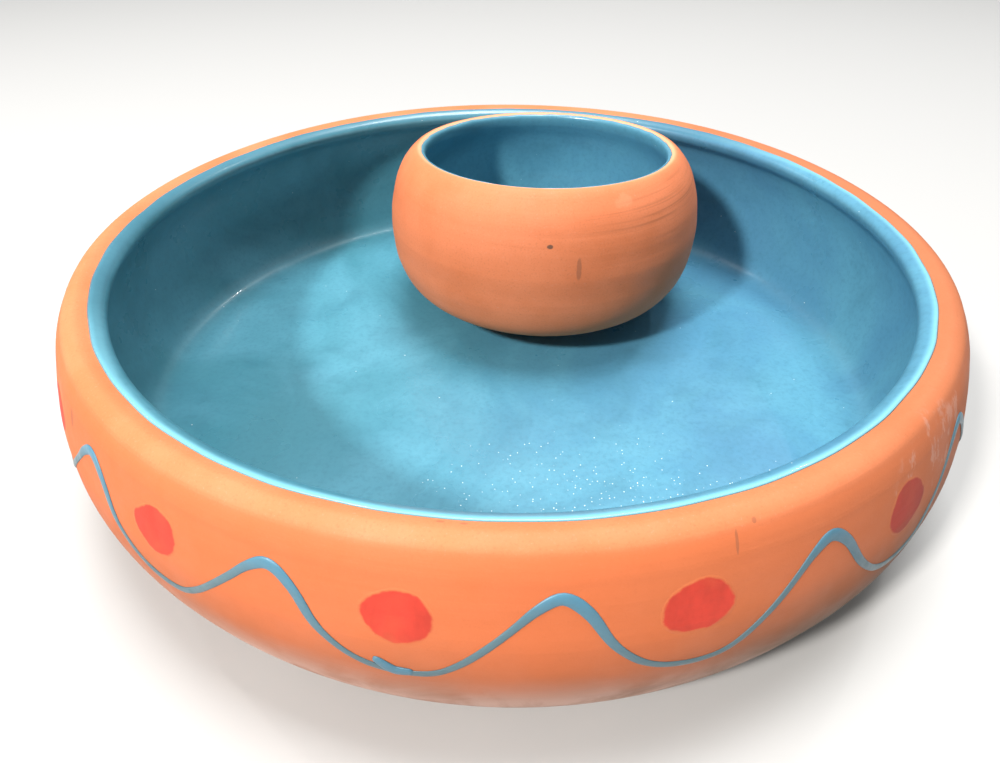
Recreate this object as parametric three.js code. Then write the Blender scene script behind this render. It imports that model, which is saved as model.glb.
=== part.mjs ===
// Chip and dip server: a wide terracotta serving bowl with a loose dip bowl standing on its floor.
// Millimetres, +Z up. The origin is the centre of the circle that the foot ring stands on.
// The front is towards -Y: the dip bowl stands towards the back of the serving bowl.
import * as THREE from 'three';

// ---- driving dimensions ----
const CURVE_STEPS = 4; // straight pieces in each curved stretch of an outline
const GLAZE_GAP = 0.125; // clearance between the clay and its glaze
const GLAZE_THICKNESS = 0.625;
const GLAZE_BUILD = GLAZE_GAP + GLAZE_THICKNESS;

const serving = {
  segments: 48,
  glazeEdgeRadius: 143,
  glazeEdgeHeight: 75,
  crestRadius: 146.8, // the bare clay crest, just outside the glaze
  crestHeight: 76,
  floorRadius: 136.5,
  floorHeight: 11.25, // clay floor, under the glaze
  footRadius: 129,
  recessRadius: 112,
  recessDepth: 2.5,
};

const dip = {
  segments: 40,
  x: 14.6,
  y: 58.7,
  height: 73,
  rimSlope: THREE.MathUtils.degToRad(3), // the hand-made rim is higher at the front
  crestRadius: 55.4,
  glazeEdgeRadius: 53.2,
  bellyRadius: 68.2,
  bellyHeight: 39,
  footRadius: 39,
  footHeight: 4.5,
  footChamfer: 0.6,
  recessRadius: 31,
  recessDepth: 1.5,
  floorRadius: 34,
  floorHeight: 8,
};

// The pattern round the outer wall. Distances run down the wall from the glaze edge.
const pattern = {
  repeats: 15,
  peakAzimuth: THREE.MathUtils.degToRad(-85.6),
  peakDistance: 19,
  troughDistance: 42.5,
  troughPhase: 0.45, // the fall after a peak is shorter than the rise to the next one
  peakRounding: 0.1,
  wallClearance: 0.1,
};
const REPEAT_ANGLE = (2 * Math.PI) / pattern.repeats;

const wave = {
  stepsPerRepeat: 12,
  troughWidth: 1.9,
  peakWidth: 3,
  height: 0.5,
};

const dot = {
  phase: 0.46, // place between one peak and the next
  distance: 25.5,
  width: 16.5,
  length: 13.5,
  height: 0.3,
  sides: 14,
  rings: 4,
};

// ---- materials ----
const terracotta = new THREE.MeshStandardMaterial({ color: '#d0753f', roughness: 0.85, metalness: 0 });
const blueGlaze = new THREE.MeshStandardMaterial({ color: '#4a93ac', roughness: 0.12, metalness: 0 });
const blueSlip = new THREE.MeshStandardMaterial({ color: '#5f8ea6', roughness: 0.45, metalness: 0 });
const redSlip = new THREE.MeshStandardMaterial({ color: '#e2492f', roughness: 0.7, metalness: 0 });

// ---- outlines: x is the radius and y is the height ----

/** Outer wall of the serving bowl, from the glaze edge on the lip down to the base corner. */
function servingWallCurve() {
  const { glazeEdgeRadius, glazeEdgeHeight, crestRadius, crestHeight } = serving;
  const wall = new THREE.Path();
  wall.moveTo(glazeEdgeRadius, glazeEdgeHeight);
  wall.bezierCurveTo(144.2, 75.5, 145.4, crestHeight, crestRadius, crestHeight);
  wall.bezierCurveTo(150.6, crestHeight, 153.6, 70, 154.5, 66);
  wall.bezierCurveTo(162.2, 41.5, 160.7, 32, 150.2, 12);
  return wall;
}

/** Underside of the serving bowl, from the axis over the foot ring to the base corner. */
function servingBaseCurve() {
  const { footRadius, recessRadius, recessDepth } = serving;
  const base = new THREE.Path();
  base.moveTo(0, recessDepth);
  base.lineTo(recessRadius - recessDepth, recessDepth);
  base.lineTo(recessRadius, 0);
  base.lineTo(footRadius, 0);
  base.bezierCurveTo(139, 0, 146.5, 5, 150.2, 12);
  return base;
}

/** Clay inside of the serving bowl: floor, cove, wall, undercut and lip, ending at the glaze edge. */
function servingInsideCurve() {
  const { glazeEdgeRadius, glazeEdgeHeight, floorRadius, floorHeight } = serving;
  const inside = new THREE.Path();
  inside.moveTo(0, floorHeight);
  inside.lineTo(floorRadius, floorHeight);
  inside.quadraticCurveTo(145, floorHeight, 147.4, 22);
  inside.bezierCurveTo(151.8, 37, 153.4, 53, 145.3, 65);
  inside.bezierCurveTo(143.3, 68, 138.9, 68.8, 138.9, 71.8);
  inside.bezierCurveTo(138.9, 73.4, 141, 74.3, glazeEdgeRadius, glazeEdgeHeight);
  return inside;
}

/** Outside of the dip bowl, from the axis under the foot up to the glaze edge inside the crest. */
function dipOutsideCurve() {
  const { footRadius, footHeight, footChamfer, recessRadius, recessDepth } = dip;
  const { bellyRadius, bellyHeight, crestRadius, height, glazeEdgeRadius } = dip;
  const outside = new THREE.Path();
  outside.moveTo(0, recessDepth);
  outside.lineTo(recessRadius - recessDepth, recessDepth);
  outside.lineTo(recessRadius, 0);
  outside.lineTo(footRadius - footChamfer, 0);
  outside.lineTo(footRadius, footChamfer);
  outside.lineTo(footRadius, footHeight);
  outside.bezierCurveTo(62, 11.5, 67.3, 18, bellyRadius, bellyHeight);
  outside.bezierCurveTo(68.6, 49, 65, 68, crestRadius, height);
  outside.lineTo(glazeEdgeRadius, height - 0.4);
  return outside;
}

/** Clay inside of the dip bowl, from the axis up to the glaze edge. */
function dipInsideCurve() {
  const { floorRadius, floorHeight, glazeEdgeRadius, height } = dip;
  const inside = new THREE.Path();
  inside.moveTo(0, floorHeight);
  inside.lineTo(floorRadius, floorHeight);
  inside.bezierCurveTo(51, 10, 62, 24, 62.2, 39);
  inside.bezierCurveTo(62.4, 52, 59, 60, 54.5, 65.5);
  inside.bezierCurveTo(52, 68.5, 51.4, 71.4, glazeEdgeRadius, height - 0.4);
  return inside;
}

/** Moves an outline sideways, to the left of the way it runs, with mitred corners. */
function offsetOutline(points, distance) {
  const steps = points.slice(1).map((point, i) => point.clone().sub(points[i]).normalize());
  const normals = steps.map((step) => new THREE.Vector2(-step.y, step.x));
  return points.map((point, i) => {
    const before = normals[Math.max(i - 1, 0)];
    const after = normals[Math.min(i, normals.length - 1)];
    const mitre = before.clone().add(after).divideScalar(1 + before.dot(after));
    return point.clone().addScaledVector(mitre, distance);
  });
}

// ---- solids ----

/** Turns a closed outline round +Z. */
function turned(points, segments) {
  return new THREE.LatheGeometry(points, segments).rotateX(Math.PI / 2);
}

/** Clay wall between an outside and an inside curve that both end at the glaze edge. */
function clayGeometry(outside, inside, segments) {
  const outer = outside.getPoints(CURVE_STEPS);
  const inner = inside.getPoints(CURVE_STEPS).reverse().slice(1);
  return turned([...outer, ...inner], segments);
}

/** Glaze skin of even thickness over an inside curve. */
function glazeGeometry(inside, segments) {
  const clay = inside.getPoints(CURVE_STEPS);
  const back = offsetOutline(clay, GLAZE_GAP);
  const front = offsetOutline(clay, GLAZE_BUILD).reverse();
  return turned([...back, ...front], segments);
}

/** Tilts the rim of the dip bowl and leaves its foot level. */
function slopeRim(geometry) {
  const position = geometry.getAttribute('position');
  const fall = Math.tan(dip.rimSlope) / dip.height;
  for (let i = 0; i < position.count; i++) {
    position.setZ(i, position.getZ(i) * (1 - fall * position.getY(i)));
  }
  return geometry;
}

const servingWall = servingWallCurve();

/** Point at a height above the outer wall, at an azimuth and a distance down from the glaze edge. */
function wallPoint(azimuth, distance, height) {
  const u = distance / servingWall.getLength();
  const { x: radius, y: z } = servingWall.getPointAt(u);
  const along = servingWall.getTangentAt(u);
  const r = radius - along.y * height;
  return new THREE.Vector3(r * Math.cos(azimuth), r * Math.sin(azimuth), z + along.x * height);
}

/** How far down the wall the wave line is, at a phase from 0 at one peak to 1 at the next. */
function waveDistance(phase) {
  const { peakDistance, troughDistance, troughPhase, peakRounding } = pattern;
  const falling = (0.5 * phase) / troughPhase;
  const rising = 0.5 + (0.5 * (phase - troughPhase)) / (1 - troughPhase);
  const arch = Math.sin(Math.PI * (phase < troughPhase ? falling : rising));
  const rounded = Math.hypot(arch, peakRounding) - peakRounding;
  const full = Math.hypot(1, peakRounding) - peakRounding;
  return peakDistance + ((troughDistance - peakDistance) * rounded) / full;
}

/** Width of the wave line, widest at the peaks where the trailer slows down. */
function waveWidth(phase) {
  const nearPeak = Math.cos(Math.PI * phase) ** 12;
  return wave.troughWidth + (wave.peakWidth - wave.troughWidth) * nearPeak;
}

/** One ridge of trailed slip that runs round the wall and joins up with itself. */
function waveGeometry() {
  const stations = pattern.repeats * wave.stepsPerRepeat;
  const radius = servingWall.getPointAt(pattern.troughDistance / servingWall.getLength()).x;
  const stepAngle = REPEAT_ANGLE / wave.stepsPerRepeat;
  const phaseAt = (i) => (i / wave.stepsPerRepeat) % 1;
  const corners = [];
  for (let i = 0; i < stations; i++) {
    const before = waveDistance(phaseAt(i + stations - 1));
    const after = waveDistance(phaseAt(i + 1));
    const across = new THREE.Vector2(before - after, 2 * stepAngle * radius).normalize();
    const azimuth = pattern.peakAzimuth + i * stepAngle;
    const distance = waveDistance(phaseAt(i));
    const half = waveWidth(phaseAt(i)) / 2;
    for (const [side, height] of [[-1, 0], [1, 0], [0.45, wave.height], [-0.45, wave.height]]) {
      const shiftedAzimuth = azimuth + (side * half * across.x) / radius;
      const shiftedDistance = distance + side * half * across.y;
      corners.push(...wallPoint(shiftedAzimuth, shiftedDistance, pattern.wallClearance + height));
    }
  }
  return new THREE.BufferGeometry()
    .setAttribute('position', new THREE.Float32BufferAttribute(corners, 3))
    .setIndex(ringIndex(stations, 4));
}

/** Triangles that join a ring of stations, each with the same number of corners. */
function ringIndex(stations, corners) {
  const triangles = [];
  for (let i = 0; i < stations; i++) {
    const here = i * corners;
    const next = ((i + 1) % stations) * corners;
    for (let j = 0; j < corners; j++) {
      const k = (j + 1) % corners;
      triangles.push(here + j, next + k, here + k, here + j, next + j, next + k);
    }
  }
  return triangles;
}

/** A low oval pad of slip that follows the wall. */
function dotGeometry(azimuth) {
  const geometry = new THREE.SphereGeometry(1, dot.sides, dot.rings);
  const position = geometry.getAttribute('position');
  const radius = servingWall.getPointAt(dot.distance / servingWall.getLength()).x;
  for (let i = 0; i < position.count; i++) {
    const pointAzimuth = azimuth + (position.getX(i) * dot.width) / 2 / radius;
    const pointDistance = dot.distance + (position.getZ(i) * dot.length) / 2;
    const height = pattern.wallClearance + dot.height * Math.max(position.getY(i), 0);
    const { x, y, z } = wallPoint(pointAzimuth, pointDistance, height);
    position.setXYZ(i, x, y, z);
  }
  return geometry;
}

// ---- assembly ----

function addMesh(group, name, geometry, material) {
  const mesh = new THREE.Mesh(geometry, material);
  mesh.name = name;
  group.add(mesh);
}

/** Whole outside of the serving bowl, from the axis under the base up to the glaze edge. */
function servingOutsideCurve() {
  const outside = servingBaseCurve();
  for (const curve of servingWall.curves.toReversed()) {
    const { v0, v1, v2, v3 } = curve;
    outside.bezierCurveTo(v2.x, v2.y, v1.x, v1.y, v0.x, v0.y);
  }
  return outside;
}

function buildServingBowl() {
  const group = new THREE.Group();
  const inside = servingInsideCurve();
  const clay = clayGeometry(servingOutsideCurve(), inside, serving.segments);
  addMesh(group, 'serving_bowl_body', clay, terracotta);
  addMesh(group, 'serving_bowl_glaze', glazeGeometry(inside, serving.segments), blueGlaze);
  addMesh(group, 'wave_line', waveGeometry(), blueSlip);
  for (let i = 0; i < pattern.repeats; i++) {
    const azimuth = pattern.peakAzimuth + (i + dot.phase) * REPEAT_ANGLE;
    addMesh(group, `dot_${String(i + 1).padStart(2, '0')}`, dotGeometry(azimuth), redSlip);
  }
  return group;
}

function buildDipBowl() {
  const group = new THREE.Group();
  const inside = dipInsideCurve();
  const clay = clayGeometry(dipOutsideCurve(), inside, dip.segments);
  addMesh(group, 'dip_bowl_body', slopeRim(clay), terracotta);
  addMesh(group, 'dip_bowl_glaze', slopeRim(glazeGeometry(inside, dip.segments)), blueGlaze);
  group.position.set(dip.x, dip.y, serving.floorHeight + GLAZE_BUILD);
  return group;
}

const server = new THREE.Group();
server.add(buildServingBowl(), buildDipBowl());

export default server;
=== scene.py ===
"""Looks of the chip and dip server: a glazed terracotta serving bowl with a dip bowl standing in it.

Metres, +Z up, front towards -Y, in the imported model's own frame. Each pot is turned again, finely, from the
outline of its CAD node, with throwing rings, uneven glaze and hand-drawn decoration added as real shape.
"""
import math

import bpy
import numpy as np
from mathutils import Matrix, Vector


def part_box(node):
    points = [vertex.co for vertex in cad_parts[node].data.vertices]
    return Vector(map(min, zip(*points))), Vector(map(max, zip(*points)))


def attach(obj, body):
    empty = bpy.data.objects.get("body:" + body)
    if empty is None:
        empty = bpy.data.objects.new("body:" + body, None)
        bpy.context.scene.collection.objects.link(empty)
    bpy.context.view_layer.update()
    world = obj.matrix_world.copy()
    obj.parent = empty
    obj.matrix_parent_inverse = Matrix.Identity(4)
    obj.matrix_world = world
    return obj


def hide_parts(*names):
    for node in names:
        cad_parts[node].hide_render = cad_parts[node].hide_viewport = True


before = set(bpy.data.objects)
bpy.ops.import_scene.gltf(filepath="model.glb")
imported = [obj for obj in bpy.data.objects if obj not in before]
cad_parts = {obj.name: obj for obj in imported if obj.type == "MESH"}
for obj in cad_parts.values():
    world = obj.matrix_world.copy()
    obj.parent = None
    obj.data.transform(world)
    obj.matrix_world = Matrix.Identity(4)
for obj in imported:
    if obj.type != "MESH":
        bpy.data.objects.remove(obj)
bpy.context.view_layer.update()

MM = 0.001
TAU = 2 * math.pi

POT_STEPS = 420  # steps round the serving bowl
DIP_STEPS = 300
OUTLINE_SPACING = 0.9 * MM
EDGE_ROWS = 16  # rows of the glaze near its edge
FLOOR_ROWS = 34
CORNER = math.radians(60)  # an outline turning faster than this keeps its corner
LEVEL = 0.01 * MM  # heights, or places across a plane, closer than this are the same

# Seeds of the unevenness of each piece.
WARP_SEED = 5
SERVING_CLAY_SEED = 11
SERVING_GLAZE_SEED = 21
DIP_CLAY_SEED = 31
DIP_GLAZE_SEED = 41
WAVE_SEED = 3
LINE_WIDTH_SEED = 8
FIRST_DOT_SEED = 100

LIP_DEPTH = 8.7 * MM  # from the glaze edge down to the edge of the rolled lip
LIP_STEP = 0.22 * MM

GLAZE_FILM = 0.62 * MM  # thickness of the glaze over the clay
GLAZE_BACK = 0.03 * MM  # clearance between clay and glaze
SLIP_LIFT = 0.04 * MM  # clearance between the wall and the slip drawn on it


# ---- outlines ------------------------------------------------------------------------------------


def half_outline(node):
    """(radius, height) points of a turned CAD node, from its underside on the axis to its top on the axis."""
    low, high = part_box(node)
    centre_x = (low.x + high.x) / 2
    centre_y = (low.y + high.y) / 2
    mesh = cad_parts[node].data

    def place(index):
        x, y, z = mesh.vertices[index].co
        in_plane = abs(y - centre_y) < LEVEL and x > centre_x - LEVEL
        return (round(x - centre_x, 6), round(z, 6)) if in_plane else None

    links = {}
    for edge in mesh.edges:
        a, b = (place(i) for i in edge.vertices)
        if a and b and a != b:
            links.setdefault(a, set()).add(b)
            links.setdefault(b, set()).add(a)
    on_axis = sorted((p for p in links if p[0] < LEVEL), key=lambda p: p[1])
    path = [on_axis[0]]
    while path[-1] != on_axis[-1]:
        path.append(next(p for p in links[path[-1]] if p not in path[-2:]))
    return np.array(path)


def curve_through(points, spacing):
    """Smooth curve through the points, stepped at about the spacing. A straight line has longer steps."""
    lengths = np.hypot(*np.diff(points, axis=0).T)
    if len(points) < 3:
        share = np.linspace(0, 1, math.ceil(lengths[0] / (10 * spacing)) + 1)[:, None]
        return points[0] * (1 - share) + points[1] * share
    knots = np.r_[0, np.cumsum(np.sqrt(lengths))]
    slopes = np.gradient(points, knots, axis=0, edge_order=2)
    stretches = [points[:1]]
    for i, length in enumerate(lengths):
        t = np.linspace(0, 1, max(2, math.ceil(length / spacing) + 1))[1:, None]
        span = knots[i + 1] - knots[i]
        stretches.append(
            (2 * t**3 - 3 * t**2 + 1) * points[i]
            + (t**3 - 2 * t**2 + t) * span * slopes[i]
            + (3 * t**2 - 2 * t**3) * points[i + 1]
            + (t**3 - t**2) * span * slopes[i + 1]
        )
    return np.concatenate(stretches)


def fine_outline(points, spacing=OUTLINE_SPACING):
    """The outline with its curved stretches smoothed. Level stretches and sharp corners are kept."""
    steps = np.diff(points, axis=0)
    heading = np.unwrap(np.arctan2(steps[:, 1], steps[:, 0]))
    level = np.abs(steps[:, 1]) < 1e-6
    kept = (np.abs(np.diff(heading)) > CORNER) | level[1:] | level[:-1]
    ends = [0, *(np.flatnonzero(kept) + 1), len(points) - 1]
    parts = [curve_through(points[a : b + 1], spacing) for a, b in zip(ends, ends[1:])]
    return np.concatenate([parts[0]] + [part[1:] for part in parts[1:]])


class Surface:
    """An outline by the distance along it: radius, height and outward normal."""

    def __init__(self, points):
        self.points = points
        self.distance = np.r_[0, np.cumsum(np.hypot(*np.diff(points, axis=0).T))]
        tangent = np.gradient(points, self.distance, axis=0)
        tangent /= np.linalg.norm(tangent, axis=1)[:, None]
        self.normal = np.stack([tangent[:, 1], -tangent[:, 0]], 1)
        self.length = self.distance[-1]

    def at(self, distance, lift=0.0):
        """Radius and height of points at these distances, lifted off the surface."""

        def read(values):
            return np.interp(distance, self.distance, values)

        radius = read(self.points[:, 0]) + lift * read(self.normal[:, 0])
        height = read(self.points[:, 1]) + lift * read(self.normal[:, 1])
        return np.maximum(radius, 0), height

    def nearest(self, point):
        """Distance along the outline of its point nearest to (radius, height)."""
        return self.distance[np.argmin(np.hypot(*(self.points - point).T))]


# ---- hand-made unevenness ------------------------------------------------------------------------


def harmonics(azimuth, along, waves, seed):
    """Smooth unevenness from -1 to 1 that closes round the pot: waves are (turns, ripples per metre)."""
    rng = np.random.default_rng(seed)
    total = 0
    for turns, ripples in waves:
        total = total + np.cos(turns * azimuth + ripples * TAU * along + rng.uniform(0, TAU))
    return total / len(waves)


def out_of_round(grid, height, seed):
    """Leaves a thrown pot a little oval, with a rim that dips and rises. The foot stays as it is."""
    x, y, z = grid[..., 0], grid[..., 1], grid[..., 2]
    azimuth = np.arctan2(y, x)
    share = np.clip(z / height, 0, 1) ** 2
    swell = 1 + 0.0012 * share * harmonics(azimuth, 0 * z, [(2, 0), (3, 0)], seed)
    lift = 0.35 * MM * share * harmonics(azimuth, 0 * z, [(2, 0), (3, 0), (5, 0)], seed + 1)
    return np.stack([x * swell, y * swell, z + lift], -1)


def throwing_rings(azimuth, along, seed):
    """Spiral grooves left by the fingers, in metres."""
    fine = harmonics(azimuth, along, [(1, 210), (1, 330), (1, 520)], seed)
    broad = harmonics(azimuth, along, [(1, 62), (-1, 95)], seed + 1)
    fading = 0.6 + 0.4 * harmonics(azimuth, along, [(2, 14), (3, 9)], seed + 2)
    return (0.035 * fine + 0.09 * broad) * fading * MM


class Relief:
    """Throwing rings on a pot's outer wall, between its foot and its glaze, with an optional rolled lip."""

    def __init__(self, foot_end, glaze_edge, seed, lip_depth=0.0, lip_step=0.0):
        self.foot_end = foot_end
        self.glaze_edge = glaze_edge
        self.seed = seed
        self.lip_depth = lip_depth
        self.lip_step = lip_step

    def below_lip(self, azimuth, along):
        """Distance down the wall from the edge of the rolled lip."""
        wander = 0.5 * MM * harmonics(azimuth, 0, [(3, 0), (5, 0), (8, 0)], self.seed + 5)
        return self.glaze_edge - along - self.lip_depth + wander

    def at(self, azimuth, along):
        """Height of the relief in metres, by azimuth and distance along the outline."""
        wall = ramp(along, self.foot_end, self.foot_end + 6 * MM) * ramp(self.glaze_edge - along, 0, 5 * MM)
        below_lip = self.below_lip(azimuth, along)
        step = self.lip_step * ramp(below_lip, -0.6 * MM, 0.6 * MM) * ramp(below_lip, 16 * MM, 1 * MM)
        return wall * (throwing_rings(azimuth, along, self.seed) - step)


def ramp(values, low, high):
    """Smooth step from 0 at low to 1 at high."""
    t = np.clip((values - low) / (high - low), 0, 1)
    return t * t * (3 - 2 * t)


# ---- meshes --------------------------------------------------------------------------------------


def add_piece(name, vertices, faces, material, body, nodes, attributes=None):
    """Makes a smooth-shaded mesh piece that rides on a body and stands for CAD nodes."""
    mesh = bpy.data.meshes.new(name)
    mesh.from_pydata(vertices, [], faces)
    mesh.polygons.foreach_set("use_smooth", np.ones(len(mesh.polygons), bool))
    for key, values in (attributes or {}).items():
        mesh.attributes.new(key, "FLOAT", "POINT").data.foreach_set("value", values.astype(np.float32))
    mesh.materials.append(material)
    mesh.validate()
    piece = bpy.data.objects.new(name, mesh)
    bpy.context.scene.collection.objects.link(piece)
    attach(piece, body)
    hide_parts(*nodes)
    return piece


def turned_grid(radius, height, steps):
    """Grid of points, outline by azimuth. radius and height are per outline point, or per grid point."""
    azimuth = np.arange(steps) * TAU / steps
    radius = np.broadcast_to(radius if np.ndim(radius) == 2 else radius[:, None], (len(radius), steps))
    height = np.broadcast_to(height if np.ndim(height) == 2 else height[:, None], (len(height), steps))
    return np.stack([radius * np.cos(azimuth), radius * np.sin(azimuth), height], -1)


def closed_turning(grid):
    """Vertices and faces of a grid whose first and last rows lie on the axis."""
    rows, steps = grid.shape[:2]
    middle = grid[1:-1].reshape(-1, 3)
    vertices = np.concatenate([grid[0].mean(0)[None], middle, grid[-1].mean(0)[None]])
    here = 1 + np.arange(steps)
    beside = np.roll(here, -1)
    last = len(vertices) - 1
    faces = [(0, int(b), int(a)) for a, b in zip(here, beside)]
    for row in range(rows - 3):
        a = here + row * steps
        b = beside + row * steps
        faces.extend(zip(a.tolist(), b.tolist(), (b + steps).tolist(), (a + steps).tolist()))
    top = (rows - 3) * steps
    faces.extend((int(a + top), int(b + top), last) for a, b in zip(here, beside))
    return vertices, faces


def turned_values(values, steps):
    """Values per outline point, or per grid point, in the order of the vertices of closed_turning."""
    values = np.broadcast_to(values.reshape(len(values), -1), (len(values), steps))
    return np.r_[values[0, 0], values[1:-1].ravel(), values[-1, 0]]


# ---- shader graphs -------------------------------------------------------------------------------


def colour(code):
    """Linear RGBA from an sRGB hex code."""
    channels = [int(code[i : i + 2], 16) / 255 for i in (1, 3, 5)]
    linear = [c / 12.92 if c <= 0.04045 else ((c + 0.055) / 1.055) ** 2.4 for c in channels]
    return (*linear, 1.0)


class Graph:
    """Short calls that add shader nodes to a new material and join them."""

    def __init__(self, name):
        self.material = bpy.data.materials.new(name)
        self.material.use_nodes = True
        self.nodes = self.material.node_tree.nodes
        self.links = self.material.node_tree.links
        self.shader = self.nodes["Principled BSDF"]
        self.place = self.add("ShaderNodeTexCoord").outputs["Object"]

    def put(self, socket, value):
        """Links a socket's output to the socket, or sets its value."""
        if isinstance(value, bpy.types.NodeSocket):
            self.links.new(value, socket)
        else:
            socket.default_value = value

    def add(self, kind, inputs=None, **settings):
        """Adds a shader node with its inputs, by name or number, and its settings."""
        node = self.nodes.new(kind)
        for key, value in settings.items():
            setattr(node, key, value)
        for key, value in (inputs or {}).items():
            self.put(node.inputs[key], value)
        return node

    def math(self, operation, a, b=0.0):
        return self.add("ShaderNodeMath", {0: a, 1: b}, operation=operation).outputs[0]

    def shift(self, vector, amount):
        node = self.add("ShaderNodeVectorMath", {0: vector, 1: amount}, operation="SUBTRACT")
        return node.outputs[0]

    def stretch(self, vector, scale):
        node = self.add("ShaderNodeVectorMath", {0: vector, 1: scale}, operation="MULTIPLY")
        return node.outputs[0]

    def split(self, vector):
        return self.add("ShaderNodeSeparateXYZ", {0: vector}).outputs

    def noise(self, scale, detail=3.0, roughness=0.55, vector=None, distortion=0.0):
        """Noise about 0.5, with this many cells per metre."""
        inputs = {
            "Vector": vector or self.place,
            "Scale": scale,
            "Detail": detail,
            "Roughness": roughness,
            "Distortion": distortion,
        }
        return self.add("ShaderNodeTexNoise", inputs).outputs["Fac"]

    def step(self, value, low, high, to_low=0.0, to_high=1.0):
        """Smooth step of value from low to high."""
        inputs = {"Value": value, "From Min": low, "From Max": high, "To Min": to_low, "To Max": to_high}
        return self.add("ShaderNodeMapRange", inputs, interpolation_type="SMOOTHSTEP").outputs["Result"]

    def mix(self, share, a, b):
        """Colour a mixed with colour b. The colours are inputs 6 and 7, and output 2."""
        node = self.add("ShaderNodeMix", data_type="RGBA")
        self.put(node.inputs["Factor"], share)
        self.put(node.inputs[6], a)
        self.put(node.inputs[7], b)
        return node.outputs[2]

    def attribute(self, name):
        return self.add("ShaderNodeAttribute", attribute_name=name).outputs["Fac"]

    def bump(self, height, strength, distance, below=None):
        inputs = {"Height": height, "Strength": strength, "Distance": distance}
        if below is not None:
            inputs["Normal"] = below
        return self.add("ShaderNodeBump", inputs).outputs["Normal"]

    def finish(self, **inputs):
        """Sets the shader's inputs, with _ for each space in their names, and returns the material."""
        for key, value in inputs.items():
            self.put(self.shader.inputs[key.replace("_", " ")], value)
        return self.material


CLAY_LIGHT = colour("#d77c52")
CLAY_DEEP = colour("#c96e42")
# Darker clay painted on the wall under the lip, as shade.
CLAY_SHADED_WALL = colour("#c26437")
CLAY_BROWN = colour("#8f5636")
CLAY_DUST = colour("#bd9a8c")
CLAY_PALE = colour("#efc49b")
# Dark brown of dirt mixed with painted shade, low on the serving bowl's wall and on its dots.
GRIME_AND_SHADE = colour("#594632")
MARK_DARK = colour("#5e4436")

# Small dark marks on the serving bowl: degrees round it, mm down from the lip's edge, then half sizes in mm.
SERVING_SPOTS = [
    (-95.6, -7.3, 1.1, 0.45),
    (-93.6, -7.2, 1.0, 0.4),
    (-69.5, -1.0, 0.6, 0.7),
    (-71.3, 2.8, 0.4, 3.0),
    (-139.5, 9.0, 1.2, 3.0),
    (38.0, 5.0, 1.2, 2.6),
    (112.0, 2.0, 2.2, 0.8),
    (171.0, 30.0, 1.0, 3.4),
]


class Polar:
    """Azimuth in radians, and height, of the point being shaded, about a pot's axis."""

    def __init__(self, graph, centre):
        self.graph = graph
        self.local = graph.shift(graph.place, (*centre, 0.0))
        x, y, self.height = graph.split(self.local)
        self.azimuth = graph.math("ARCTAN2", y, x)

    def spot(self, azimuth, height, width, tall, radius, ragged=0.35, grain=260.0, below=None):
        """1 inside an oval mark on the pot, 0 outside. width and tall are its half sizes in metres.

        With below, a distance down from the lip, the mark's height is a distance down as well.
        """
        g = self.graph
        across = g.math("MULTIPLY", g.math("SUBTRACT", self.azimuth, math.radians(azimuth)), radius / width)
        up = g.math("DIVIDE", g.math("SUBTRACT", below or self.height, height), tall)
        reach = g.math("SQRT", g.math("ADD", g.math("POWER", across, 2.0), g.math("POWER", up, 2.0)))
        rough = g.math("MULTIPLY", g.math("SUBTRACT", g.noise(grain, 3), 0.5), 2 * ragged)
        return g.step(g.math("ADD", reach, rough), 1.15, 0.75)


def clay_colour(graph, polar, marks):
    """Colour of unglazed terracotta: clouds, thin turning streaks, iron specks and marks."""
    clouds = graph.step(graph.noise(19, 4, 0.6), 0.35, 0.68)
    tone = graph.mix(clouds, CLAY_LIGHT, CLAY_DEEP)
    streaks = graph.noise(1.0, 4, 0.7, graph.stretch(polar.local, (9.0, 9.0, 420.0)))
    tone = graph.mix(graph.step(streaks, 0.5, 0.8, 0.0, 0.35), tone, CLAY_DEEP)
    tone = graph.mix(graph.step(streaks, 0.47, 0.25, 0.0, 0.3), tone, CLAY_LIGHT)
    grain = graph.noise(1400, 3, 0.7)
    tone = graph.mix(graph.step(grain, 0.5, 0.8, 0.0, 0.35), tone, CLAY_BROWN)
    tone = graph.mix(graph.step(grain, 0.42, 0.2, 0.0, 0.3), tone, CLAY_DUST)
    for mask, strength, paint in marks:
        tone = graph.mix(graph.math("MULTIPLY", mask, strength), tone, paint)
    return tone


def clay_bump(graph, polar):
    """Fine turning lines, sandy grain and pits."""
    rings = graph.noise(1.0, 3, 0.6, graph.stretch(polar.local, (7.0, 7.0, 700.0)))
    grain = graph.noise(1500, 4, 0.65)
    pits = graph.step(graph.noise(520, 2, 0.5), 0.34, 0.26)
    normal = graph.bump(rings, 0.25, 0.25 * MM)
    normal = graph.bump(grain, 0.35, 0.12 * MM, normal)
    return graph.bump(pits, -0.5, 0.15 * MM, normal)


def serving_grime_and_shade(graph, polar):
    """Dirt and painted shade low on the wall, mostly at the right."""
    # Painted shade with dirt: darker towards the foot, more so at the right.
    grime_and_shade_height = graph.math("ADD", polar.height, graph.math("MULTIPLY", graph.noise(20, 4, 0.6), 24 * MM))
    to_right = graph.step(graph.split(polar.local)[0], -80 * MM, 110 * MM, 0.55, 1.0)
    return graph.math("MULTIPLY", graph.step(grime_and_shade_height, 70 * MM, 38 * MM), to_right)


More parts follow.
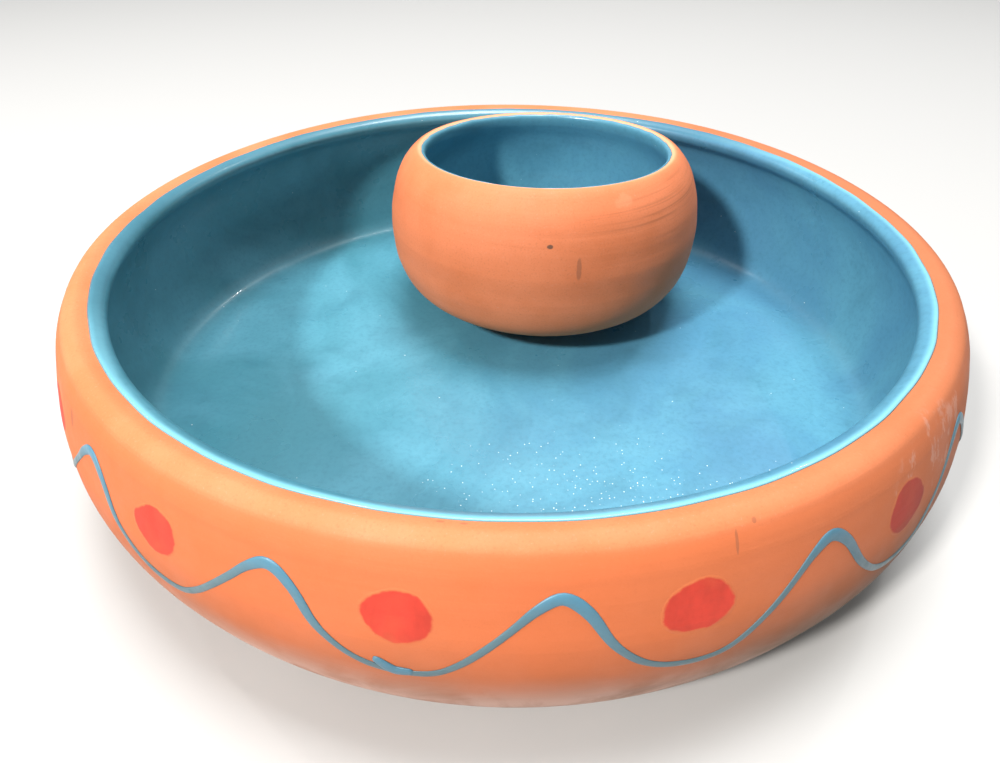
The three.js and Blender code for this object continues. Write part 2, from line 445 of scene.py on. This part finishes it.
def wall_marks(graph, polar, below_lip):
    """Painted shade on the wall under the lip and at the right, dirt with painted shade low down, and dust
    near the foot.
    """
    # Painted shade: the wall under the rolled lip is painted darker than the lip, which faces up to the
    # light.
    wall = graph.step(below_lip, -1.2 * MM, 1.6 * MM)
    # Painted shade: the right side of the wall, turned away from the key light, is painted browner.
    right = graph.step(graph.split(polar.local)[0], 5 * MM, 145 * MM)
    from_front = graph.math("ABSOLUTE", graph.math("ADD", polar.azimuth, math.radians(97)))
    front = graph.step(from_front, 0.75, 0.35)
    patchy = graph.step(graph.noise(30, 5, 0.65, distortion=0.6), 0.36, 0.56, 0.4, 1.0)
    bloom = graph.math("MULTIPLY", graph.step(polar.height, 44 * MM, 22 * MM), patchy)
    bloom = graph.math("MULTIPLY", bloom, front)
    return [
        (wall, 0.75, CLAY_SHADED_WALL),
        (right, 0.6, CLAY_BROWN),
        (serving_grime_and_shade(graph, polar), 1.0, GRIME_AND_SHADE),
        (bloom, 0.95, CLAY_DUST),
    ]


def handling_marks(graph, polar, below_lip):
    """Pale scuffs at the right and small dark marks."""
    radius = 155 * MM
    scuff_lines = graph.noise(1.0, 4, 0.75, graph.stretch(polar.local, (160.0, 160.0, 60.0)))
    scuffed = polar.spot(-44, 9 * MM, 22 * MM, 10 * MM, radius, 0.6, 120, below_lip)
    scuffs = graph.math("MULTIPLY", scuffed, graph.step(scuff_lines, 0.52, 0.62))
    marks = [(scuffs, 0.35, CLAY_DUST)]
    for azimuth, down, width, tall in SERVING_SPOTS:
        spot = polar.spot(azimuth, down * MM, width * MM, tall * MM, radius, below=below_lip)
        marks.append((spot, 0.4, MARK_DARK))
    return marks


def serving_clay():
    """Bare terracotta of the serving bowl, with its grime and marks."""
    graph = Graph("terracotta_serving_bowl")
    polar = Polar(graph, (0.0, 0.0))
    below_lip = graph.attribute("below_lip")
    marks = wall_marks(graph, polar, below_lip) + handling_marks(graph, polar, below_lip)
    return graph.finish(
        Base_Color=clay_colour(graph, polar, marks),
        Roughness=graph.step(graph.noise(60, 3), 0.3, 0.7, 0.62, 0.82),
        Specular_IOR_Level=0.35,
        Normal=clay_bump(graph, polar),
    )


def dip_marks(graph, polar, foot, height):
    """A chip, a streak, scratches under the lip, painted shade low at the right and the pale line along the
    crest of the dip bowl.
    """
    radius = 62 * MM
    crest_line = graph.step(graph.attribute("from_glaze"), 2.4 * MM, 0.6 * MM)
    scratch_lines = graph.noise(1.0, 3, 0.7, graph.stretch(polar.local, (14.0, 14.0, 1100.0)))
    band = polar.spot(-38, foot + 0.9 * height, 42 * MM, 7 * MM, radius, 0.3, 60)
    scratches = graph.math("MULTIPLY", band, graph.step(scratch_lines, 0.5, 0.66))
    rub = polar.spot(-63, foot + 0.975 * height, 4 * MM, 2.0 * MM, radius, 0.6, 320)
    # Painted shade: the lower right of the dip bowl, turned away from the key light, is painted browner.
    painted_shade_low_right = polar.spot(-30, foot + 0.3 * height, 45 * MM, 22 * MM, radius, 0.5, 30)
    return [
        (painted_shade_low_right, 0.12, CLAY_BROWN),
        (scratches, 0.32, CLAY_BROWN),
        (rub, 0.08, CLAY_PALE),
        (crest_line, 0.45, CLAY_PALE),
        (polar.spot(-90, foot + 0.8 * height, 1.2 * MM, 0.8 * MM, radius), 0.9, MARK_DARK),
        (polar.spot(-80.5, foot + 0.68 * height, 0.9 * MM, 4.5 * MM, radius), 0.4, MARK_DARK),
    ]


def dip_clay(centre, foot, height):
    """Bare terracotta of the dip bowl, with its marks."""
    graph = Graph("terracotta_dip_bowl")
    polar = Polar(graph, centre)
    marks = dip_marks(graph, polar, foot, height)
    return graph.finish(
        Base_Color=clay_colour(graph, polar, marks),
        Roughness=graph.step(graph.noise(60, 3), 0.3, 0.7, 0.6, 0.8),
        Specular_IOR_Level=0.35,
        Normal=clay_bump(graph, polar),
    )


GLAZE_TEAL = colour("#44808f")
GLAZE_BLUE = colour("#4c83a0")
GLAZE_LIGHT = colour("#5f9eb2")
GLAZE_DEEP = colour("#356678")
# Pale thin glaze at the lip's edge, with a painted reflection.
GLAZE_THIN_AND_SHEEN = colour("#7fc0cf")
SPECK = colour("#effbfb")
SPECK_CELLS = 1150.0  # cells per metre that may each hold a speck
SPECK_GATHERING = (34 * MM, -88 * MM, 12 * MM)  # where the specks in the serving bowl gather


def glaze_tone(graph, thin_edge_and_lip_light):
    """Mottled teal to blue. Along the lip the thin glaze is paler at the front, with a painted reflection,
    and deeper at its back and left, with painted shade.
    """
    x, y = graph.split(graph.place)[:2]
    side = graph.math("ADD", x, graph.math("MULTIPLY", graph.noise(9, 3), 60 * MM))
    tone = graph.mix(graph.step(side, -70 * MM, 130 * MM), GLAZE_TEAL, GLAZE_BLUE)
    blotches = graph.step(graph.noise(13, 5, 0.62, distortion=0.8), 0.36, 0.7, 0.0, 0.6)
    tone = graph.mix(blotches, tone, GLAZE_LIGHT)
    pools = graph.step(graph.noise(34, 4, 0.6, distortion=0.4), 0.5, 0.75, 0.0, 0.3)
    tone = graph.mix(pools, tone, GLAZE_DEEP)
    flecks = graph.step(graph.noise(520, 4, 0.7), 0.42, 0.75, 0.0, 0.3)
    tone = graph.mix(flecks, tone, GLAZE_DEEP)

    # Painted reflection at the front of the lip and painted shade at its back and left, over the paler thin
    # glaze at the edge.
    to_back = graph.step(graph.math("ADD", y, graph.math("MULTIPLY", x, -0.7)), -60 * MM, 60 * MM)
    lip = graph.mix(to_back, GLAZE_THIN_AND_SHEEN, GLAZE_DEEP)
    wider_at_back = graph.math("MULTIPLY", to_back, -3 * MM)
    reach_in = graph.math("ADD", graph.attribute("from_edge"), wider_at_back)
    return graph.mix(graph.step(reach_in, 2.4 * MM, 0.6 * MM, 0.0, thin_edge_and_lip_light), tone, lip)


def glaze_specks(graph, centre):
    """1 in small round specks, which gather about the centre."""
    cells = graph.add("ShaderNodeTexVoronoi", {"Vector": graph.place, "Scale": SPECK_CELLS})
    chance = graph.split(cells.outputs["Color"])[0]
    from_centre = graph.stretch(graph.shift(graph.place, centre), (0.6, 1.0, 1.0))
    reach = graph.add("ShaderNodeVectorMath", {0: from_centre}, operation="LENGTH").outputs["Value"]
    rarity = graph.step(reach, 4 * MM, 52 * MM, 0.8, 0.9985)
    dots = graph.step(cells.outputs["Distance"], 0.26, 0.14)
    return graph.math("MULTIPLY", dots, graph.math("GREATER_THAN", chance, rarity))


def blue_glaze(name, speck_centre, thin_edge_and_lip_light):
    """Satin blue glaze. Its last argument is how much its colour changes along its edge, where thin glaze, a
    painted reflection and painted shade are mixed in.
    """
    graph = Graph(name)
    tone = glaze_tone(graph, thin_edge_and_lip_light)
    tone = graph.mix(glaze_specks(graph, speck_centre), tone, SPECK)
    ripple = graph.noise(45, 2, 0.5)
    peel = graph.noise(260, 2, 0.5)
    normal = graph.bump(ripple, 0.15, 0.4 * MM)
    normal = graph.bump(peel, 0.1, 0.06 * MM, normal)
    return graph.finish(
        Base_Color=tone,
        Roughness=graph.step(graph.noise(30, 4, 0.6), 0.3, 0.7, 0.26, 0.38),
        Coat_Weight=0.15,
        Coat_Roughness=0.06,
        Normal=normal,
    )


LINE_THIN = colour("#506a72")
LINE_THICK = colour("#48798f")
LINE_FLECK = colour("#4a6975")
# Dark grey of dirt and painted shade on the line.
LINE_GRIME_AND_SHADE = colour("#2f393b")
DOT_RED = colour("#cd3d2c")
DOT_DEEP = colour("#b33423")
# Dark brown painted shade on the dots at the right.
DOT_PAINTED_SHADE = colour("#4d2518")
DOT_BELOW_LIP = 20 * MM


def line_slip():
    """Satin grey-blue slip, bluer where it lies thick, darker and greyer low down with dirt and painted
    shade, and to the right with painted shade.
    """
    graph = Graph("blue_line_slip")
    thick = graph.attribute("thickness")
    tone = graph.mix(thick, LINE_THIN, LINE_THICK)
    flecks = graph.step(graph.noise(500, 4, 0.65), 0.45, 0.75, 0.0, 0.35)
    tone = graph.mix(flecks, tone, LINE_FLECK)
    # Painted shade at the right, and dirt with painted shade low down, darken the line.
    right = graph.step(graph.split(graph.place)[0], 15 * MM, 110 * MM, 0.0, 0.45)
    grime_and_shade = graph.math("MULTIPLY", serving_grime_and_shade(graph, Polar(graph, (0.0, 0.0))), 0.8)
    tone = graph.mix(graph.math("MAXIMUM", grime_and_shade, right), tone, LINE_GRIME_AND_SHADE)
    return graph.finish(
        Base_Color=tone,
        Roughness=graph.step(graph.noise(300, 3), 0.3, 0.7, 0.32, 0.5),
        Normal=graph.bump(graph.noise(900, 3), 0.3, 0.1 * MM),
    )


def dot_slip():
    """Orange-red slip that soaks into the clay at the outline of each dot, with dirt and painted shade low
    down and painted shade darker to the right.
    """
    graph = Graph("red_dot_slip")
    polar = Polar(graph, (0.0, 0.0))
    # The clay at each dot's outline carries the wall's painted shade, dirt and dust.
    clay = clay_colour(graph, polar, wall_marks(graph, polar, DOT_BELOW_LIP))
    brushing = graph.noise(1.0, 4, 0.6, graph.stretch(graph.place, (90.0, 90.0, 40.0)))
    red = graph.mix(graph.step(brushing, 0.35, 0.7), DOT_RED, DOT_DEEP)
    wander = graph.math("MULTIPLY", graph.math("SUBTRACT", graph.noise(240, 3), 0.5), 0.25)
    soak = graph.step(graph.math("ADD", graph.attribute("from_middle"), wander), 0.84, 0.94)
    thin = graph.step(graph.noise(70, 3), 0.5, 0.8, 0.0, 0.25)
    # Dirt with painted shade low down, then painted shade to the right.
    red = graph.mix(graph.math("MULTIPLY", serving_grime_and_shade(graph, polar), 0.85), red, GRIME_AND_SHADE)
    right = graph.step(graph.split(polar.local)[0], 60 * MM, 135 * MM, 0.0, 0.85)
    red = graph.mix(right, red, DOT_PAINTED_SHADE)
    return graph.finish(
        Base_Color=graph.mix(graph.math("MAXIMUM", soak, thin), red, clay),
        Roughness=0.7,
        Specular_IOR_Level=0.35,
        Normal=clay_bump(graph, polar),
    )


# ---- the pots ------------------------------------------------------------------------------------


def glaze_rows(surface, floor_end, edge):
    """Distances along the clay's inside, from the glaze edge in to the axis, close together near the edge."""
    near = edge + np.linspace(0, 6 * MM, EDGE_ROWS)
    far = np.arange(near[-1] + OUTLINE_SPACING, floor_end, OUTLINE_SPACING)
    floor = np.linspace(max(far[-1], floor_end) + 2 * MM, surface.length, FLOOR_ROWS)
    return np.r_[near, far, floor]


def clay_rows(surface, edge):
    """Distances along the clay's outline, further apart where the glaze covers it."""
    bare = surface.distance < edge + 2 * MM
    kept = bare | (np.arange(len(bare)) % 2 == 0) | (surface.distance == surface.length)
    return surface.distance[kept]


def clay_grid(surface, rows, steps, relief):
    """The clay body, with the relief on its outer wall."""
    azimuth = np.arange(steps) * TAU / steps
    lift = relief.at(azimuth[None], rows[:, None])
    return turned_grid(*surface.at(rows[:, None], lift), steps)


def glaze_grid(surface, steps, floor_end, glaze_edge, seed):
    """Closed film of glaze, up its back and down its front, with each row's distance from the edge."""
    azimuth = np.arange(steps)[None] * TAU / steps
    rows = glaze_rows(surface, floor_end, glaze_edge)
    wander = 0.3 * MM * harmonics(azimuth, 0, [(7, 0), (13, 0), (23, 0), (41, 0)], seed)
    from_edge = (rows - glaze_edge)[:, None]
    along = rows[:, None] + wander * ramp(from_edge, 5 * MM, 0)
    roll = np.sqrt(np.clip(from_edge / (1.1 * MM), 0, 1))
    uneven = 0.05 * MM * harmonics(azimuth, rows[:, None], [(3, 21), (5, 33), (9, 12), (14, 40)], seed + 1)
    keep_flat = ramp(along, floor_end + 4 * MM, floor_end - 6 * MM)
    film = (GLAZE_FILM - 0.08 * MM * (1 - keep_flat) + uneven * (0.25 + 0.75 * keep_flat)) * roll
    front = turned_grid(*surface.at(along, GLAZE_BACK + film), steps)
    kept = np.r_[np.arange(0, len(rows) - 1, 2), len(rows) - 1]
    back = turned_grid(*surface.at(along[kept], GLAZE_BACK), steps)
    grid = np.concatenate([back[::-1], front[1:]])
    distances = np.r_[rows[kept][::-1], rows[1:]] - glaze_edge
    return grid, distances


class Wall:
    """The serving bowl's finished outer wall, by azimuth and distance down from the glaze edge."""

    def __init__(self, surface, relief, height):
        self.surface = surface
        self.relief = relief
        self.height = height

    def along(self, distance):
        return self.relief.glaze_edge - distance

    def radius(self, distance):
        return self.surface.at(self.along(distance))[0]

    def distance_to(self, z):
        """Distance down the wall to a height."""
        distance = np.linspace(10 * MM, self.relief.glaze_edge - self.relief.foot_end, 400)
        return np.interp(-z, -self.surface.at(self.along(distance))[1], distance)

    def points(self, azimuth, distance, lift):
        """Points lifted off the wall, over its relief."""
        along = self.along(distance)
        radius, z = self.surface.at(along, lift + self.relief.at(azimuth, along))
        grid = np.stack([radius * np.cos(azimuth), radius * np.sin(azimuth), z], -1)
        return out_of_round(grid, self.height, WARP_SEED)


class Pot:
    """A turned pot read from its CAD nodes: its surface, and where its foot, glaze and floor begin."""

    def __init__(self, clay_node, glaze_node):
        outline = half_outline(clay_node)
        glaze_outline = half_outline(glaze_node)
        self.surface = Surface(fine_outline(outline))
        self.top = outline[:, 1].max()
        lining_edge = glaze_outline[len(glaze_outline) // 2]
        self.edge = self.nearest(outline[np.argmin(np.hypot(*(outline - lining_edge).T))])
        on_ground = outline[outline[:, 1] < outline[:, 1].min() + LEVEL]
        self.foot_end = self.nearest(on_ground.max(0))
        floor_level = outline[-1, 1]
        floor_radius = outline[np.abs(outline[:, 1] - floor_level) < LEVEL][:, 0].max()
        self.floor_end = self.nearest((floor_radius, floor_level))
        self.clay_rows = clay_rows(self.surface, self.edge)

    def nearest(self, point):
        return self.surface.nearest(point)


def serving_pieces():
    """The clay and lining of the serving bowl. Returns its wall, for the decoration."""
    pot = Pot("serving_bowl_body", "serving_bowl_glaze")
    relief = Relief(pot.foot_end, pot.edge, SERVING_CLAY_SEED, LIP_DEPTH, LIP_STEP)
    grid = clay_grid(pot.surface, pot.clay_rows, POT_STEPS, relief)
    vertices, faces = closed_turning(out_of_round(grid, pot.top, WARP_SEED))
    azimuth = np.arange(POT_STEPS) * TAU / POT_STEPS
    below_lip = relief.below_lip(azimuth[None], pot.clay_rows[:, None])
    add_piece("serving_bowl_clay", vertices, faces, serving_clay(), "serving_bowl",
              ["serving_bowl_body"], {"below_lip": turned_values(below_lip, POT_STEPS)})

    grid, distances = glaze_grid(pot.surface, POT_STEPS, pot.floor_end, pot.edge, SERVING_GLAZE_SEED)
    vertices, faces = closed_turning(out_of_round(grid, pot.top, WARP_SEED))
    glaze = blue_glaze("blue_glaze_serving", SPECK_GATHERING, 0.6)
    add_piece("serving_bowl_lining", vertices, faces, glaze, "serving_bowl",
              ["serving_bowl_glaze"], {"from_edge": turned_values(distances, POT_STEPS)})
    return Wall(pot.surface, relief, pot.top)


def rim_fall(node):
    """How much lower the dip bowl is for each metre towards the back, as a share of its height."""
    low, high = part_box(node)
    centre = (low + high) / 2
    points = np.array([v.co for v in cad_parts[node].data.vertices])
    in_plane = points[np.abs(points[:, 0] - centre.x) < LEVEL]
    front = max(in_plane[in_plane[:, 1] < centre.y], key=lambda p: p[2])
    back = max(in_plane[in_plane[:, 1] > centre.y], key=lambda p: p[2])
    rise_front, rise_back = front[2] - low.z, back[2] - low.z
    return (rise_front - rise_back) / (rise_front + rise_back) / ((back[1] - front[1]) / 2)


def slope_rim(grid, foot, fall):
    """Lowers the back and lifts the front of a pot whose foot stays level."""
    z = foot + (grid[..., 2] - foot) * (1 - fall * grid[..., 1])
    return np.stack([grid[..., 0], grid[..., 1], z], -1)


def dip_pieces():
    """The clay and lining of the dip bowl, in its own place on the serving bowl's floor."""
    low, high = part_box("dip_bowl_body")
    centre = ((low.x + high.x) / 2, (low.y + high.y) / 2)
    foot = low.z
    fall = rim_fall("dip_bowl_body")
    pot = Pot("dip_bowl_body", "dip_bowl_glaze")
    place = np.array([*centre, 0.0])

    relief = Relief(pot.foot_end, pot.edge, DIP_CLAY_SEED)
    grid = clay_grid(pot.surface, pot.clay_rows, DIP_STEPS, relief)
    vertices, faces = closed_turning(slope_rim(grid, foot, fall) + place)
    from_glaze = np.abs(pot.clay_rows - pot.edge)
    add_piece("dip_bowl_clay", vertices, faces, dip_clay(centre, foot, pot.top - foot), "dip_bowl",
              ["dip_bowl_body"], {"from_glaze": turned_values(from_glaze, DIP_STEPS)})

    grid, distances = glaze_grid(pot.surface, DIP_STEPS, pot.floor_end, pot.edge, DIP_GLAZE_SEED)
    vertices, faces = closed_turning(slope_rim(grid, foot, fall) + place)
    glaze = blue_glaze("blue_glaze_dip", (*centre, 0.02), 0.1)
    add_piece("dip_bowl_lining", vertices, faces, glaze, "dip_bowl", ["dip_bowl_glaze"],
              {"from_edge": turned_values(distances, DIP_STEPS)})


# ---- decoration on the serving bowl's wall -------------------------------------------------------


DOT_NODES = sorted(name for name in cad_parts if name.startswith("dot_"))
REPEAT = TAU / len(DOT_NODES)
DOT_PHASE = 0.46  # place of a dot between one peak of the line and the next
LINE_WIDTH = 1.95 * MM
PEAK_WIDTH = 3.1 * MM
LINE_RISE = 0.5 * MM
LAP_START = -100.7  # degrees round the bowl where the line's two ends lap
LAP_SWEEP = 3.3
DOT_HALF_TALL = (7.1, 7.9)  # least and most, in mm
DOT_HALF_WIDE = (8.8, 9.7)
DOT_RISE = 0.04 * MM
DOT_BRIM = 0.97  # share of the way out where a dot meets the wall
BRIM_SINK = 0.08 * MM  # how far its rim goes into the wall
DOT_SINK = 0.1 * MM  # and its back
# Depth of the trailed line below its peaks, as a share of the wave, at even steps between two peaks.
LINE_DEPTHS = (0, 0.17, 0.54, 0.79, 0.93, 0.99, 1, 0.95, 0.79, 0.57, 0.34, 0.11)


def node_middle(node):
    """Azimuth and height of the middle of a CAD node."""
    low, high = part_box(node)
    middle = (low + high) / 2
    return math.atan2(middle.y, middle.x), middle.z


def line_depth(phase):
    """Depth of the line between 0 at a peak and 1 at a trough, smoothly through LINE_DEPTHS."""
    depths = np.array(LINE_DEPTHS)
    slopes = (np.roll(depths, -1) - np.roll(depths, 1)) / 2
    at = phase * len(depths)
    i = at.astype(int) % len(depths)
    j = (i + 1) % len(depths)
    t = at % 1
    start = (2 * t**3 - 3 * t**2 + 1) * depths[i] + (t**3 - 2 * t**2 + t) * slopes[i]
    return start + (3 * t**2 - 2 * t**3) * depths[j] + (t**3 - t**2) * slopes[j]


def line_path(wall, steps):
    """Azimuth, distance and phase at each step of the trailed line, with small differences between waves."""
    low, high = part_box("wave_line")
    peak = wall.distance_to(high.z - PEAK_WIDTH / 2)
    trough = wall.distance_to(low.z + LINE_WIDTH / 2)
    start = node_middle(DOT_NODES[0])[0] - DOT_PHASE * REPEAT
    turns = np.arange(steps) / steps * len(DOT_NODES)
    wave, phase = turns.astype(int), turns % 1
    rng = np.random.default_rng(WAVE_SEED)
    peaks = peak + rng.uniform(-0.5, 0.5, len(DOT_NODES)) * MM
    troughs = trough + rng.uniform(-0.8, 0.6, len(DOT_NODES)) * MM
    peak_here = peaks[wave] * (1 - phase) + peaks[(wave + 1) % len(peaks)] * phase
    distance = peak_here + (troughs[wave] - peak_here) * line_depth(phase)
    return start + turns * REPEAT, distance, phase


def ridge(wall, azimuth, distance, width, rise, closed):
    """Vertices and faces of a rounded ridge of slip along a path on the wall."""
    along = np.gradient(azimuth) * wall.radius(distance)
    fall = (np.roll(distance, -1) - np.roll(distance, 1)) / 2 if closed else np.gradient(distance)
    length = np.hypot(along, fall)
    turn = np.linspace(0, math.pi, 10)
    side = np.r_[-np.cos(turn), 0.5, 0.0, -0.5]
    up = np.r_[np.sin(turn), 0, 0, 0]
    shift = side * width[:, None] / 2
    at_azimuth = azimuth[:, None] - shift * (fall / length / wall.radius(distance))[:, None]
    at_distance = distance[:, None] + shift * (along / length)[:, None]
    grid = wall.points(at_azimuth, at_distance, SLIP_LIFT + up * rise[:, None])
    stations, corners = grid.shape[:2]
    faces = []
    for i in range(stations if closed else stations - 1):
        here, there = i * corners, (i + 1) % stations * corners
        for j in range(corners):
            k = (j + 1) % corners
            faces.append((here + j, there + j, there + k, here + k))
    if not closed:
        last = (stations - 1) * corners
        faces.append(tuple(range(corners)))
        faces.append(tuple(range(last + corners - 1, last - 1, -1)))
    return grid.reshape(-1, 3), faces


def lap(wall, azimuth, distance):
    """Vertices and faces of the short thick lap where the two ends of the line meet."""
    share = np.linspace(0, 1, 24)
    lap_azimuth = np.radians(LAP_START + LAP_SWEEP * share)
    lap_distance = np.interp(lap_azimuth % TAU, azimuth % TAU, distance, period=TAU)
    lap_distance = lap_distance - (2.6 * (1 - ramp(share, 0, 0.6)) + 0.6 * share) * MM
    width = (1.3 + 1.6 * np.sqrt(np.clip(1 - (2 * share - 1) ** 2, 0, 1))) * MM
    rise = LINE_RISE * (0.35 + 0.9 * np.sqrt(np.clip(1 - (2 * share - 1) ** 4, 0, 1)))
    return ridge(wall, lap_azimuth, lap_distance, width, rise, False)


def trailed_line(wall, material):
    """One raised line of slip round the wall, thick over the peaks, with its ends lapped at a trough."""
    azimuth, distance, phase = line_path(wall, len(DOT_NODES) * 64)
    past_peak = np.exp(-((phase / 0.17) ** 2))
    before_peak = np.exp(-(((1 - phase) / 0.11) ** 2))
    thick = np.clip(past_peak + before_peak, 0, 1)
    wobble = harmonics(azimuth, 0, [(31, 0), (47, 0), (83, 0)], LINE_WIDTH_SEED)
    width = (LINE_WIDTH + (PEAK_WIDTH - LINE_WIDTH) * thick) * (1 + 0.08 * wobble)
    vertices, faces = ridge(wall, azimuth, distance, width, LINE_RISE * (0.6 + 0.4 * thick), True)
    thickness = np.repeat(thick, len(vertices) // len(azimuth))

    lap_vertices, lap_faces = lap(wall, azimuth, distance)
    faces += [tuple(i + len(vertices) for i in face) for face in lap_faces]
    thickness = np.r_[thickness, np.full(len(lap_vertices), 0.9)]
    vertices = np.concatenate([vertices, lap_vertices])
    add_piece("trailed_wave_line", vertices, faces, material, "serving_bowl", ["wave_line"],
              {"thickness": thickness})


def slip_dot(wall, node, material, seed):
    """A dab of slip with an uneven outline, barely raised and sunk into the wall at its edge."""
    azimuth, z = node_middle(node)
    distance = wall.distance_to(z)
    radius = wall.radius(distance)
    rng = np.random.default_rng(seed)
    half_tall = rng.uniform(*DOT_HALF_TALL) * MM
    half_wide = rng.uniform(*DOT_HALF_WIDE) * MM
    sides = 64
    turn = np.arange(sides) * TAU / sides
    lean = rng.uniform(-0.12, 0.12)
    bulge = sum(rng.uniform(0.3, 1) * size * np.cos(k * turn + rng.uniform(0, TAU))
                for k, size in ((2, 0.03), (3, 0.045), (4, 0.02), (5, 0.012)))
    wide = (1 + bulge) * (np.cos(turn) * half_wide + np.sin(turn) * half_tall * lean)
    tall = (1 + bulge) * np.sin(turn) * half_tall
    share = np.r_[np.linspace(0, DOT_BRIM, 14), 1]
    dome = DOT_RISE * np.sqrt(1 - np.minimum(share, DOT_BRIM) ** 4 / DOT_BRIM**4 + 1e-9)
    front = dome - BRIM_SINK * (share == 1)
    share = np.r_[share, share[::-1][1:]]
    lift = np.r_[front, np.full(len(share) - len(front), -DOT_SINK)]
    across = azimuth + share[:, None] * wide / radius
    down = distance + share[:, None] * tall
    grid = wall.points(across, down, lift[:, None])
    vertices, faces = closed_turning(grid)
    add_piece(f"slip_{node}", vertices, faces, material, "serving_bowl", [node],
              {"from_middle": turned_values(share, sides)})


# ---- stage ---------------------------------------------------------------------------------------


def area_light(name, direction, distance, size, power, tint):
    """Soft light that looks at the middle of the serving bowl."""
    data = bpy.data.lights.new(name, "AREA")
    data.shape = "RECTANGLE"
    data.size, data.size_y = size
    data.energy = power
    data.color = tint
    light = bpy.data.objects.new(name, data)
    light.location = Vector(direction).normalized() * distance + AIM
    light.rotation_euler = Vector(direction).to_track_quat("Z", "Y").to_euler()
    bpy.context.scene.collection.objects.link(light)


# Name, direction from the bowl, distance, size, power and tint.
LIGHTS = [
    ("key", (-0.503, -0.578, 0.643), 1.4, (0.12, 0.12), 25, (1.0, 0.97, 0.94)),
    ("ceiling", (0.05, 0.1, 1.0), 2.2, (1.0, 1.0), 63, (0.98, 0.99, 1.0)),
    ("lamp_back_right", (0.48, 0.49, 0.73), 2.0, (0.06, 0.06), 3.5, (1.0, 1.0, 1.0)),
    ("lamp_back_left", (-0.64, 0.35, 0.68), 2.0, (0.06, 0.06), 3.5, (1.0, 1.0, 1.0)),
]
AIM = Vector((0, 0, 0.04))  # what the lights look at
SKY_STRENGTH = (0.17, 0.5)  # at the walls and at the ceiling
FLOOR_REACH = 6.0
FLOOR_COLOUR = colour("#b4b3b1")

LENS = 25.2  # mm, on a frame 36 mm wide
CAMERA_BACK = 0.2414
CAMERA_ABOVE_RIM = 0.1129
PITCH = math.radians(37.78)  # positive looks down
YAW = math.radians(-0.92)  # positive looks to the right, so this is a little to the left
ROLL = math.radians(0.12)


def sky(scene):
    """White room light that grows from the walls up to the ceiling."""
    world = bpy.data.worlds.new("studio")
    world.use_nodes = True
    nodes, links = world.node_tree.nodes, world.node_tree.links
    direction = nodes.new("ShaderNodeTexCoord").outputs["Generated"]
    parts = nodes.new("ShaderNodeSeparateXYZ")
    rise = nodes.new("ShaderNodeMapRange")
    rise.interpolation_type = "SMOOTHSTEP"
    rise.inputs["From Min"].default_value = 0.1
    rise.inputs["From Max"].default_value = 0.95
    rise.inputs["To Min"].default_value = SKY_STRENGTH[0]
    rise.inputs["To Max"].default_value = SKY_STRENGTH[1]
    links.new(direction, parts.inputs[0])
    links.new(parts.outputs["Z"], rise.inputs["Value"])
    links.new(rise.outputs["Result"], nodes["Background"].inputs["Strength"])
    nodes["Background"].inputs["Color"].default_value = (0.97, 0.99, 1.0, 1)
    scene.world = world


def studio():
    """Sky, soft lights and a plain pale floor."""
    scene = bpy.context.scene
    scene.view_settings.view_transform = "Standard"
    sky(scene)
    for light in LIGHTS:
        area_light(*light)

    floor_mesh = bpy.data.meshes.new("floor")
    corners = [(x * FLOOR_REACH, y * FLOOR_REACH, 0) for x, y in ((-1, -1), (1, -1), (1, 1), (-1, 1))]
    floor_mesh.from_pydata(corners, [], [(0, 1, 2, 3)])
    floor = bpy.data.objects.new("floor", floor_mesh)
    scene.collection.objects.link(floor)
    graph = Graph("pale_floor")
    floor_mesh.materials.append(graph.finish(Base_Color=FLOOR_COLOUR, Roughness=0.8))


def camera():
    """Close, wide view from the front, looking down into the bowls."""
    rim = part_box("serving_bowl_body")[1].z
    data = bpy.data.cameras.new("camera")
    data.lens = LENS
    data.sensor_width = 36.0
    data.clip_start = 0.01
    view = bpy.data.objects.new("camera", data)
    forward = Vector((math.sin(YAW) * math.cos(PITCH), math.cos(YAW) * math.cos(PITCH), -math.sin(PITCH)))
    level_right = Vector((math.cos(YAW), -math.sin(YAW), 0))
    level_up = level_right.cross(forward)
    right = math.cos(ROLL) * level_right + math.sin(ROLL) * level_up
    up = math.cos(ROLL) * level_up - math.sin(ROLL) * level_right
    turn = Matrix((right, up, -forward)).transposed().to_4x4()
    view.matrix_world = Matrix.Translation((0.0, -CAMERA_BACK, rim + CAMERA_ABOVE_RIM)) @ turn
    bpy.context.scene.collection.objects.link(view)
    bpy.context.scene.camera = view


camera()
studio()
outer_wall = serving_pieces()
trailed_line(outer_wall, line_slip())
dot_material = dot_slip()
for number, dot_node in enumerate(DOT_NODES):
    slip_dot(outer_wall, dot_node, dot_material, FIRST_DOT_SEED + number)
dip_pieces()
